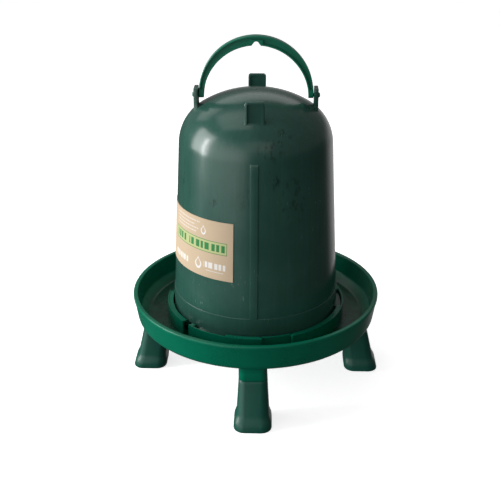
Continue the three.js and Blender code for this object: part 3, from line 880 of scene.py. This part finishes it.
@dataclass
class Reservoir:
    """Domed bell with a band round its foot, spines, bayonet tabs and four lugs on the crown."""

    foot_z: float = field(default_factory=lambda: float(extent("reservoir")[0][2]))
    lug_top: float = field(default_factory=lambda: float(extent("reservoir")[1][2]))
    tab_r: float = field(default_factory=lambda: float(extent("reservoir")[1][0]))
    tab_reach: float = 7.0
    height: float = 310.4
    wall: float = 2.6
    tilt: float = 3.22
    shoulder_r: float = 59.0
    crown_r: float = 140.0
    band_height: float = 38.6
    band_step: float = 0.9
    tab_half: float = 10.0
    tab_low: float = 6.2
    tab_thickness: float = 4.5
    spine_width: float = 10.0
    spine_height: float = 1.1
    spine_length: float = 205.0
    outlet_width: float = 9.0
    outlet_height: float = 12.0
    outlet_azimuth: float = -48.0
    lug_inner_r: float = 74.0
    lug_depth: float = 5.2
    lug_width: float = 24.0
    lug_flange: float = 2.8
    outer_pocket: float = 2.6
    inner_pocket: float = 1.2
    lug_corner: float = 3.5

    def __post_init__(self) -> None:
        """Works out where the shoulder's arc touches the crown's sphere and the leaning wall."""
        self.foot_r = self.tab_r - self.tab_reach
        self.band_z = self.foot_z + self.band_height
        self.band_r = self.foot_r - self.band_step - 0.1
        self.crown_z = self.foot_z + self.height - self.crown_r
        slope = np.tan(np.radians(self.tilt))
        offset = self.band_r - self.shoulder_r / np.cos(np.radians(self.tilt))
        drop = self.crown_z - self.band_z
        a, b = 1 + slope**2, -2 * (offset * slope + drop)
        c = offset**2 + drop**2 - (self.crown_r - self.shoulder_r) ** 2
        rise = (-b + np.sqrt(b**2 - 4 * a * c)) / (2 * a)
        self.shoulder = (offset - rise * slope, self.band_z + rise)
        self.joint = 90 - np.degrees(np.arctan2(self.shoulder[0], self.shoulder[1] - self.crown_z))
        self.wall_top_z = self.shoulder[1] + self.shoulder_r * np.sin(np.radians(self.tilt))

    def dome_height(self, r: np.ndarray) -> np.ndarray:
        """Height of the outer surface at a radius: the crown's sphere, then the shoulder's circle."""
        crown = self.crown_z + np.sqrt(np.maximum(0, self.crown_r**2 - r**2))
        across = r - self.shoulder[0]
        shoulder = self.shoulder[1] + np.sqrt(np.maximum(0, self.shoulder_r**2 - across**2))
        return np.where(r < self.crown_r * np.cos(np.radians(self.joint)), crown, shoulder)

    def wall_radius(self, z: np.ndarray) -> np.ndarray:
        """Radius of the straight leaning wall at a height."""
        return self.band_r - (z - self.band_z) * np.tan(np.radians(self.tilt))

    def upper(self, inset: float) -> np.ndarray:
        """Profile from the foot of the leaning wall over the shoulder to the axis, set in by inset."""
        z = np.linspace(self.band_z + 1, self.wall_top_z - 4, 22)
        leaning = np.column_stack([self.wall_radius(z) - inset, z])
        corner = arc(self.shoulder, self.shoulder_r - inset, self.tilt, self.joint, 40)
        crown = arc((0, self.crown_z), self.crown_r - inset, self.joint, 90, 30)
        return np.concatenate([leaning, corner, crown[1:]])

    def arch(self, azimuth: np.ndarray) -> np.ndarray:
        """How far the foot is cut up at an azimuth: straight sides, then a half round.

        Args:
            azimuth: angles in degrees.

        Returns:
            Heights in millimetres.
        """
        across = np.radians(azimuth - self.outlet_azimuth) * self.foot_r
        half = self.outlet_width / 2
        round_top = np.sqrt(np.maximum(0, half**2 - across**2))
        return np.where(np.abs(across) < half, self.outlet_height - half + round_top, 0.0)

    def shell(self) -> bpy.types.Object:
        """The bell: one profile up its outside and back down its inside, its foot cut by the outlet.

        Returns:
            The piece.
        """
        band = self.band_r + self.band_step
        outside = soften(
            [(self.foot_r - 0.4, self.foot_z), (self.foot_r, self.foot_z + 0.6), (band, self.band_z - 0.9),
             (band - 0.1, self.band_z - 0.3), (self.band_r, self.band_z)],
            [0, 0.3, 0.3, 0.3, 0.2],
        )
        rows = np.linspace(self.foot_z + 2, self.foot_z + 22, 9)
        side = np.column_stack([np.full(9, self.foot_r) - 0.05, rows])
        inner_side = np.column_stack([np.full(9, self.foot_r - self.wall), rows])
        gate = [(2.6, self.foot_z + self.height), (2.2, self.foot_z + self.height + 0.4)]
        gate += [(1.2, self.foot_z + self.height + 0.6), (0, self.foot_z + self.height + 0.6)]
        outer = np.concatenate([outside[:10], side, outside[10:], self.upper(0)[:-1], gate])
        inner = np.concatenate([
            [(self.foot_r - self.wall + 0.2, self.foot_z)], inner_side, self.upper(self.wall),
        ])
        profile = np.concatenate([inner[::-1], outer])
        around = np.linspace(0, 360, 257) - 180
        half = np.degrees(self.outlet_width / 2 / self.foot_r)
        near = self.outlet_azimuth + half * np.linspace(-1, 1, 19)
        azimuth = np.unique(np.concatenate([around, near, near[[0, -1]] + [-0.03, 0.03]]))
        lift = self.arch(azimuth)[:, None]
        share = np.clip(1 - (profile[:, 1] - self.foot_z) / 24, 0, 1)[None, :]
        shaped = np.broadcast_to(profile, (len(azimuth), *profile.shape)).copy()
        shaped[..., 1] += lift * share
        return Surface().grid(turned(shaped, azimuth)).build("reservoir_shell", crease=38)

    def spines(self) -> bpy.types.Object:
        """Raised strips up the front and back: a softened section that follows the wall's lean.

        Returns:
            The piece.
        """
        half, top = self.spine_width / 2, self.band_z + self.spine_length
        corners = [(-half, -1.2), (-half, self.spine_height), (half, self.spine_height), (half, -1.2)]
        section = soften(corners, [0, 0.5, 0.5, 0])
        z = np.concatenate([np.linspace(self.band_z - 0.6, top - 4, 24), np.linspace(top - 3.4, top, 6)])
        fade = np.clip((top - z) / 4, 0, 1)[:, None]
        proud = (section[None, :, 1] + 1.2) * np.sqrt(fade) - 1.2
        x = np.broadcast_to(section[:, 0], proud.shape)
        radius = self.wall_radius(z)[:, None] + proud
        y = -np.sqrt(radius**2 - x**2)
        grid = np.stack([x, y, np.broadcast_to(z[:, None], x.shape)], axis=-1)
        surface = Surface().grid(grid, wrap=True, caps=True).grid(spun(grid, 180), wrap=True, caps=True)
        return surface.build("reservoir_spines", crease=60)

    def tabs(self, azimuths: Sequence[float]) -> bpy.types.Object:
        """The bayonet tabs round the foot.

        Args:
            azimuths: where they stand.

        Returns:
            The piece.
        """
        low, inner = self.foot_z + self.tab_low, self.foot_r - self.wall / 2
        corners = [(inner, low), (self.tab_r, low), (self.tab_r, low + self.tab_thickness)]
        section = soften(corners + [(inner, low + self.tab_thickness)], [0, 0.9, 0.9, 0], closed=True)
        surface = Surface()
        for azimuth in azimuths:
            sweep = np.linspace(azimuth - self.tab_half, azimuth + self.tab_half, 15)
            surface.grid(turned(section, sweep), wrap=True, caps=True)
        piece = surface.build("reservoir_tabs")
        bevel(piece, 0.4)
        return piece

    def lug_loop(self, y: float, inset: float, corner: float, lift: float | None = None) -> np.ndarray:
        """A lug's outline in the plane at a distance from the axis: rounded above, on the dome below.

        Args:
            y: distance of the plane in front of the axis.
            inset: distance inside the plate's outline.
            corner: radius of the top corners.
            lift: height above the dome of the lower edge, or None for inside the dome's wall.

        Returns:
            (n, 3) points.
        """
        half = self.lug_width / 2 - inset
        top = self.lug_top - inset
        right = arc((half - corner, top - corner), corner, 0, 90, 6)
        left = arc((corner - half, top - corner), corner, 90, 180, 6)
        bottom = np.column_stack([np.linspace(-half, half, 9), np.zeros(9)])
        sink = -self.wall * 0.6 if lift is None else lift
        bottom[:, 1] = self.dome_height(np.hypot(bottom[:, 0], y)) + sink
        rise = np.linspace(0, 1, 7)[1:-1]
        foot = bottom[-1, 1]
        up_right = np.column_stack([np.full(5, half), foot + rise * (top - corner - foot)])
        loop = np.concatenate([right, left, up_right[::-1] * [-1, 1], bottom, up_right])
        ground = self.dome_height(np.hypot(loop[:, 0], y))
        if lift is None:
            loop[:, 0] += np.sign(loop[:, 0]) * 1.1 * np.exp(-np.maximum(0, loop[:, 1] - ground) / 1.2)
        return np.column_stack([loop[:, 0], np.full(len(loop), -y), loop[:, 1]])

    def lugs(self) -> bpy.types.Object:
        """Four lugs, each lofted from its inner pocket's floor over the flange to its outer pocket's.

        Returns:
            The piece.
        """
        inner, outer, flange = self.lug_inner_r, self.lug_inner_r + self.lug_depth, self.lug_flange
        pocket = {"inset": flange, "corner": self.lug_corner / 2, "lift": 0.4}
        loops = np.array([
            self.lug_loop(inner + self.inner_pocket, **pocket),
            self.lug_loop(inner, **pocket),
            self.lug_loop(inner, 0.6, self.lug_corner - 0.6),
            self.lug_loop(inner + 0.6, 0, self.lug_corner),
            self.lug_loop(outer - 0.6, 0, self.lug_corner),
            self.lug_loop(outer - 0.2, 0.2, self.lug_corner - 0.2),
            self.lug_loop(outer, 0.6, self.lug_corner - 0.6),
            self.lug_loop(outer, **pocket),
            self.lug_loop(outer - self.outer_pocket, **pocket),
        ])
        surface = Surface()
        for azimuth in (0, 90, 180, 270):
            surface.grid(spun(loops, azimuth), wrap=True, caps=True)
        return surface.build("reservoir_lugs", crease=40)

    def build(self, tab_azimuths: Sequence[float]) -> None:
        """Builds and dresses the reservoir's pieces.

        Args:
            tab_azimuths: where the collar's entries, and so the tabs, are.
        """
        plastic = MouldedPlastic(
            "dark_green_reservoir_plastic", colour=(40, 78, 68), pale=(56, 98, 86), roughness=0.21,
            mottle=0.3, flow=0.3, grain=0.08, scuffs=0.35, scuff_colour=(110, 140, 130),
            smudges=(
                Smudge(12, 352, 22, 14, 0.8), Smudge(22, 366, 16, 9, 0.8), Smudge(14, 318, 10, 24, 0.8),
                Smudge(-30, 283, 8, 8, 0.9), Smudge(-62, 300, 5, 12, 0.7), Smudge(28, 285, 24, 40, 0.5),
                Smudge(-8, 290, 14, 26, 0.35), Smudge(150, 300, 40, 30, 0.5), Smudge(200, 240, 30, 50, 0.4),
            ),
        ).build()
        fit(self.shell(), Body.FOUNT, Slot.RESERVOIR, plastic, "reservoir")
        fit(self.spines(), Body.FOUNT, Slot.RESERVOIR, plastic)
        fit(self.tabs(tab_azimuths), Body.FOUNT, Slot.RESERVOIR, plastic)
        fit(self.lugs(), Body.FOUNT, Slot.RESERVOIR, plastic)


@dataclass
class Label:
    """A paper sheet round the left of the reservoir."""

    reservoir: Reservoir
    right: float = -14.0
    angle: float = 86.0
    gap: float = 0.3
    thickness: float = 0.4

    def build(self) -> None:
        """Sweeps the sheet's thin section round the wall and dresses it."""
        low, high = (corner[2] for corner in extent("paper_label"))
        z = np.linspace(low, high, 12)
        near = self.reservoir.wall_radius(z) + self.gap
        section = np.concatenate([
            np.column_stack([near, z]), np.column_stack([near + self.thickness, z])[::-1],
        ])
        sweep = np.linspace(self.right - self.angle, self.right, 70)
        surface = Surface().grid(turned(section, sweep), wrap=True, caps=True)
        middle = float(self.reservoir.wall_radius((low + high) / 2)) + self.gap
        paper = KraftPaper().build(self.right, middle, float(low))
        fit(surface.build("label_sheet", crease=30), Body.FOUNT, Slot.LABEL, paper, "paper_label")


# ---- handle ------------------------------------------------------------------------------------


@dataclass
class Handle:
    """The bail: a crescent of channel section with a hook notch in its crown, on two snap pins."""

    reservoir: Reservoir
    pivot_z: float = 396.0
    outer_r: float = 73.0
    outer_rise: float = 2.0
    inner_r: float = 66.7
    inner_sink: float = 3.8
    width: float = 12.0
    flange: float = 2.0
    web: float = 8.4
    end_drop: float = 4.0
    notch_mouth: float = 11.6
    notch_depth: float = 5.0
    notch_round: float = 3.8
    pin_r: float = 2.4
    head_r: float = 3.3
    head_proud: float = 2.2

    def reach(self, angle: np.ndarray, radius: float, rise: float) -> np.ndarray:
        """Distance from the pivot, along a ray at an angle above +X, to a circle centred rise above it."""
        return rise * np.sin(angle) + np.sqrt(radius**2 - (rise * np.cos(angle)) ** 2)

    def notch(self, x: np.ndarray) -> np.ndarray:
        """Height of the notch's roof above the pivot: a round top between two splayed sides."""
        base = self.inner_r - self.inner_sink
        centre = base + self.notch_depth - self.notch_round
        turn = self.notch_round * np.sqrt(0.5)
        half = self.notch_mouth / 2
        slope = (centre + turn - (base - 0.3)) / (half - turn)
        straight = centre + turn - (np.abs(x) - turn) * slope
        crown = centre + np.sqrt(np.maximum(0, self.notch_round**2 - x**2))
        return np.where(np.abs(x) < turn, crown, straight)

    def stations(self) -> tuple[np.ndarray, np.ndarray, np.ndarray, np.ndarray]:
        """The bow's stations from its crown down to the +X pivot's level.

        Returns:
            Angle, inner and outer distance from the pivot, and the depth of the inner flange; the
            flange is the whole limb where the channel is filled.
        """
        half = self.notch_mouth / 2
        block = half + self.flange
        base = self.inner_r - self.inner_sink
        edge = [half + 0.02, block, block + 0.02]
        x = np.concatenate([np.linspace(0, 2.4, 9), np.linspace(3, half, 8), edge])
        circle = np.sqrt(self.inner_r**2 - x**2) - self.inner_sink
        under = np.where(x <= half, np.minimum(self.notch(x), base + 10), circle)
        crown_angle = np.arctan2(under, x)
        crown_inner = np.hypot(x, under)
        filled = base + self.notch_depth + self.flange - crown_inner
        crown_flange = np.where(x <= block, filled, self.flange)
        solid_angle = np.arcsin(7 / self.inner_r)
        side_angle = np.linspace(crown_angle[-1] - 0.02, solid_angle + 1e-3, 60)
        low_angle = np.array([solid_angle, solid_angle / 2, 0.0])
        angle = np.concatenate([crown_angle, side_angle, low_angle])
        inner = np.concatenate([crown_inner, self.reach(angle[len(x):], self.inner_r, -self.inner_sink)])
        outer = self.reach(angle, self.outer_r, self.outer_rise)
        solid = outer[-3:] - inner[-3:] - self.flange
        flange = np.concatenate([crown_flange, np.full(60, self.flange), solid])
        return angle, inner, outer, flange

    def bow_section(self, inner: np.ndarray, outer: np.ndarray, flange: np.ndarray) -> np.ndarray:
        """Closed channel outlines in (distance, y), open to the front, their corners softened.

        Args:
            inner: inner distance at each station.
            outer: outer distance.
            flange: depth of the inner flange.

        Returns:
            (m, 12, 2) points.
        """
        half, soft = self.width / 2, 0.7
        floor = half - self.web
        lip = np.minimum(inner + flange, outer - self.flange - 0.05)
        roof = outer - self.flange
        filled = lip >= roof - 0.1
        back = np.where(filled, -half, floor)
        columns = [
            (outer - soft, -half), (outer, -half + soft), (outer, half - soft), (outer - soft, half),
            (inner + soft, half), (inner, half - soft), (inner, -half + soft), (inner + soft, -half),
            (lip, -half), (lip, back), (roof, back), (roof, -half),
        ]
        pairs = [np.stack(np.broadcast_arrays(r, y), axis=-1) for r, y in columns]
        return np.stack(pairs, axis=1).astype(float)

    def bow(self) -> bpy.types.Object:
        """The bow: its section carried along the crescent, then down round each end.

        Returns:
            The piece.
        """
        angle, inner, outer, flange = self.stations()
        section = self.bow_section(inner, outer, flange)
        x = section[..., 0] * np.cos(angle)[:, None]
        z = section[..., 0] * np.sin(angle)[:, None]
        upper = np.stack([x, section[..., 1], z], axis=-1)
        drop = self.end_drop * np.sin(np.linspace(0, np.pi / 2, 9))[1:]
        outline = self.bow_section(
            np.sqrt(self.inner_r**2 - (self.inner_sink - drop) ** 2),
            np.sqrt(self.outer_r**2 - (self.outer_rise + drop) ** 2),
            np.full(len(drop), self.width),
        )
        shrink = np.sqrt(np.maximum(0, 1 - (drop / self.end_drop) ** 2))[:, None]
        end = np.stack([
            outline[..., 0], outline[..., 1] * shrink, np.broadcast_to(-drop[:, None], outline.shape[:2]),
        ], axis=-1)
        right = np.concatenate([upper, end])
        whole = np.concatenate([right[::-1] * [-1, 1, 1], right[1:]]) + [0, 0, self.pivot_z]
        return Surface().grid(whole, wrap=True, caps=True).build("handle_bow", crease=40)

    def pins(self) -> bpy.types.Object:
        """The snap pins: a shaft through the lug with a mushroom head, turned about the pivot's line.

        Returns:
            The piece.
        """
        head = self.reservoir.lug_inner_r + self.reservoir.lug_depth + 0.3
        root, tip = self.outer_r - 1.5, head + self.head_proud
        corners = [(0, root), (self.pin_r, root), (self.pin_r, head), (self.head_r, head)]
        corners += [(self.head_r, head + 0.8), (self.head_r - 0.9, tip), (0, tip)]
        profile = soften(corners, [0, 0, 0, 0.25, 0.4, 0.8, 0])
        a = np.linspace(0, 2 * np.pi, 33)[:, None]
        r, along = profile[:, 0], np.broadcast_to(profile[:, 1], (33, len(profile)))
        grid = np.stack([along, r * np.cos(a), r * np.sin(a) + self.pivot_z], axis=-1)
        surface = Surface().grid(grid).grid(grid * [-1, 1, 1])
        return surface.build("handle_pins", crease=40)

    def build(self) -> None:
        """Builds and dresses the handle's pieces."""
        plastic = MouldedPlastic(
            "green_handle_plastic", colour=(0, 108, 82), pale=(6, 124, 98), roughness=0.36, mottle=0.4,
            flow=0.1, grain=0.08, scuffs=0.2, scuff_colour=(60, 160, 130),
        ).build()
        fit(self.bow(), Body.BAIL, Slot.HANDLE, plastic, "handle")
        fit(self.pins(), Body.BAIL, Slot.HANDLE, plastic)


# ---- studio ------------------------------------------------------------------------------------


@dataclass(frozen=True)
class Softbox:
    """A rectangular light: its place, width and height in metres and its power in watts."""

    name: str
    place: tuple[float, float, float]
    size: tuple[float, float]
    power: float

    def build(self) -> None:
        """Makes the light and aims it at the reservoir's middle."""
        data = bpy.data.lights.new(self.name, "AREA")
        data.shape = "RECTANGLE"
        data.size, data.size_y = self.size
        data.energy = self.power
        made = added(self.name, data)
        made.location = self.place
        aim = Vector((0, 0, 0.24)) - Vector(self.place)
        made.rotation_euler = aim.to_track_quat("-Z", "Y").to_euler()


SOFTBOXES = (
    Softbox("key_left", (-1.7, -0.35, 0.55), (0.035, 1.1), 8.5),
    Softbox("side_left", (-1.9, -0.1, 0.8), (1.2, 1.4), 28.0),
    Softbox("top_soft", (-0.5, 0.1, 1.8), (1.2, 1.0), 4),
    Softbox("back_panel", (-0.3, 1.1, 1.25), (2.0, 0.5), 3.0),
    Softbox("front_fill", (0.2, -2.4, 1.6), (1.8, 1.2), 3.5),
)


@dataclass
class Studio:
    """Pale floor, white room, soft lights and the camera."""

    lens: float = 61.53
    azimuth: float = 1.57
    distance: float = 1075.1
    camera_z: float = 661.1
    aim_z: float = 191.08
    aside: float = 7.75
    floor_reach: float = 6.0
    floor_glow: float = 0.75
    ambient: float = 0.05
    sky: float = 0.12
    window: float = 1.9
    glow: float = 0.6

    def camera(self) -> None:
        """Stands the camera in front, looking down at the middle, moved a little to its left."""
        a = np.radians(self.azimuth)
        eye = Vector((np.sin(a) * self.distance, -np.cos(a) * self.distance, self.camera_z))
        look = Vector((0, 0, self.aim_z)) - eye
        right = look.cross(Vector((0, 0, 1))).normalized()
        data = bpy.data.cameras.new("camera")
        data.lens = self.lens
        data.clip_end = 50
        made = added("camera", data)
        made.location = (eye - right * self.aside) * MM
        made.rotation_euler = look.to_track_quat("-Z", "Y").to_euler()
        bpy.context.scene.camera = made

    def floor(self) -> None:
        """A wide white floor that shows the shadows but neither lights nor shades the object."""
        mesh = bpy.data.meshes.new("floor")
        far = self.floor_reach
        corners = [(x * far, y * far, 0) for x, y in ((-1, -1), (1, -1), (1, 1), (-1, 1))]
        mesh.from_pydata(corners, [], [(0, 1, 2, 3)])
        piece = added("floor", mesh)
        graph = Graph("pale_floor")
        vector = graph.place()[0]
        colour = graph.mix(graph.noise(vector, 300, 2), (250, 250, 250), (255, 255, 255))
        glowing = {"Emission_Color": (1, 1, 1, 1), "Emission_Strength": self.floor_glow}
        mesh.materials.append(graph.finish(Base_Color=colour, Roughness=0.9, **glowing))
        piece.visible_glossy = False
        piece.visible_diffuse = False
        piece.visible_shadow = False

    def world(self) -> None:
        """A white room to look at, which lights the object dimly.

        The light has four parts: one from everywhere, a sky above the horizon, a window at the front
        left and a low glow from behind.
        """
        world = bpy.data.worlds.new("white_room")
        world.use_nodes = True
        graph = Graph.on(world.node_tree)
        direction = graph.node("ShaderNodeTexCoord").outputs["Generated"]
        x, y, z = graph.parts(Sock(graph, direction))
        lit = graph.step(z, -0.06, 0.1) * self.sky + self.ambient
        aside = graph.step(x * -0.82 + y * -0.57, 0.6, 0.9)
        pane = graph.step(z, -0.3, -0.22) * (1 - graph.step(z, 0.1, 0.8))
        lit = lit + aside * pane * self.window
        behind = graph.step(x * 0.35 + y * 0.94, 0.75, 0.98) * (1 - graph.step(z, -0.1, 0.15))
        lit = lit + behind * self.glow
        seen = Sock(graph, graph.node("ShaderNodeLightPath").outputs["Is Camera Ray"])
        strength = graph.math("MAXIMUM", lit, seen)
        inputs = {"Color": (1, 1, 1, 1), "Strength": strength}
        background = graph.node("ShaderNodeBackground", inputs=inputs)
        output = graph.node("ShaderNodeOutputWorld")
        graph.tree.links.new(background.outputs[0], output.inputs["Surface"])
        bpy.context.scene.world = world

    def build(self) -> None:
        """Sets up the whole studio."""
        bpy.context.scene.view_settings.view_transform = "Standard"
        self.camera()
        self.floor()
        self.world()
        for softbox in SOFTBOXES:
            softbox.build()
        log.info("studio ready")


def main() -> None:
    """Builds every sub-assembly in order."""
    Studio().build()
    tray = Tray()
    tray.build()
    leg_plastic = MouldedPlastic(
        "dull_green_leg_plastic", colour=(6, 76, 62), pale=(16, 92, 76), roughness=0.4, mottle=0.4,
        flow=0.2, grain=0.08, scuffs=0.2, scuff_colour=(60, 130, 112),
    ).build()
    for turn, side in enumerate(("front", "right", "back", "left")):
        Leg("leg_" + side, 90.0 * turn, tray).build(leg_plastic)
    reservoir = Reservoir()
    reservoir.build(tray.entries)
    Label(reservoir).build()
    Handle(reservoir).build()


if __name__ == "__main__":
    main()
